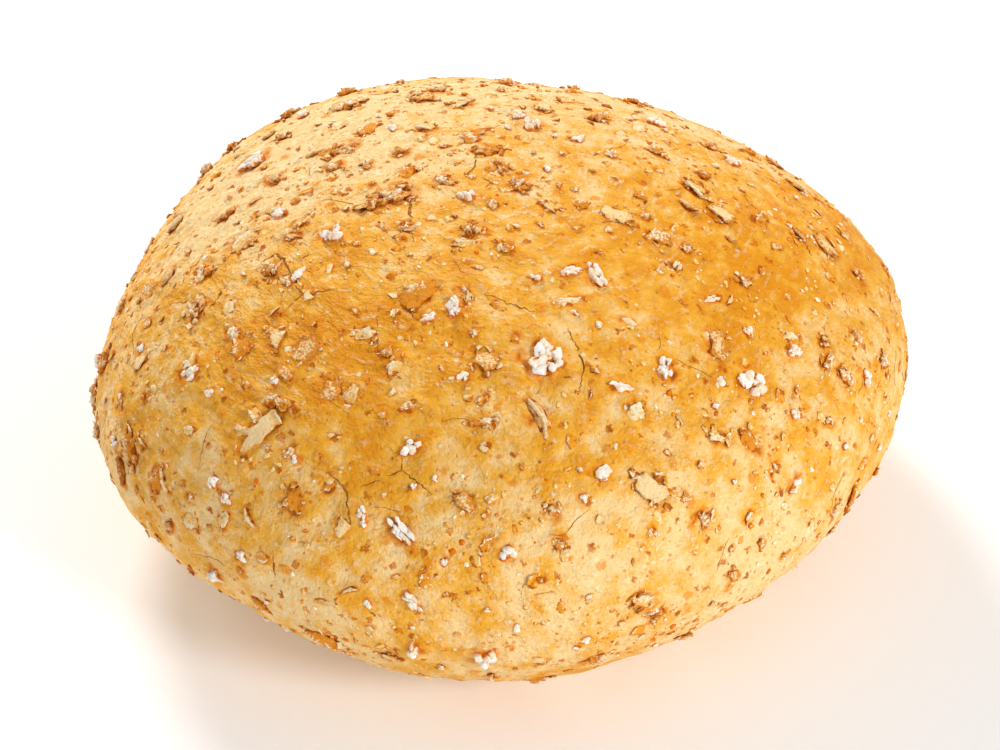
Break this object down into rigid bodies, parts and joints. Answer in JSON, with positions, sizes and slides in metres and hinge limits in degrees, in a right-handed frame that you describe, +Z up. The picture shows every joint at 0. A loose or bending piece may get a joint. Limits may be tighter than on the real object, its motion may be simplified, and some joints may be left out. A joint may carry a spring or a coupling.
{
  "type": "bread roll",
  "caption": "Round domed bread roll with bran, cracked grain and popped grain baked into a golden crust, resting on its flat base.",
  "frame": {"origin": "middle of the roll's box at its flat base, on the surface that it rests on", "axes": "+Z up from the base to the crown, -Y towards the side that the picture shows"},
  "size_m": [0.1099, 0.1118, 0.0531],
  "materials": {
    "crust": "baked golden crust with bran and grain"
  },
  "bodies": {
    "root": {"roll": "crust"}
  },
  "joints": []
}
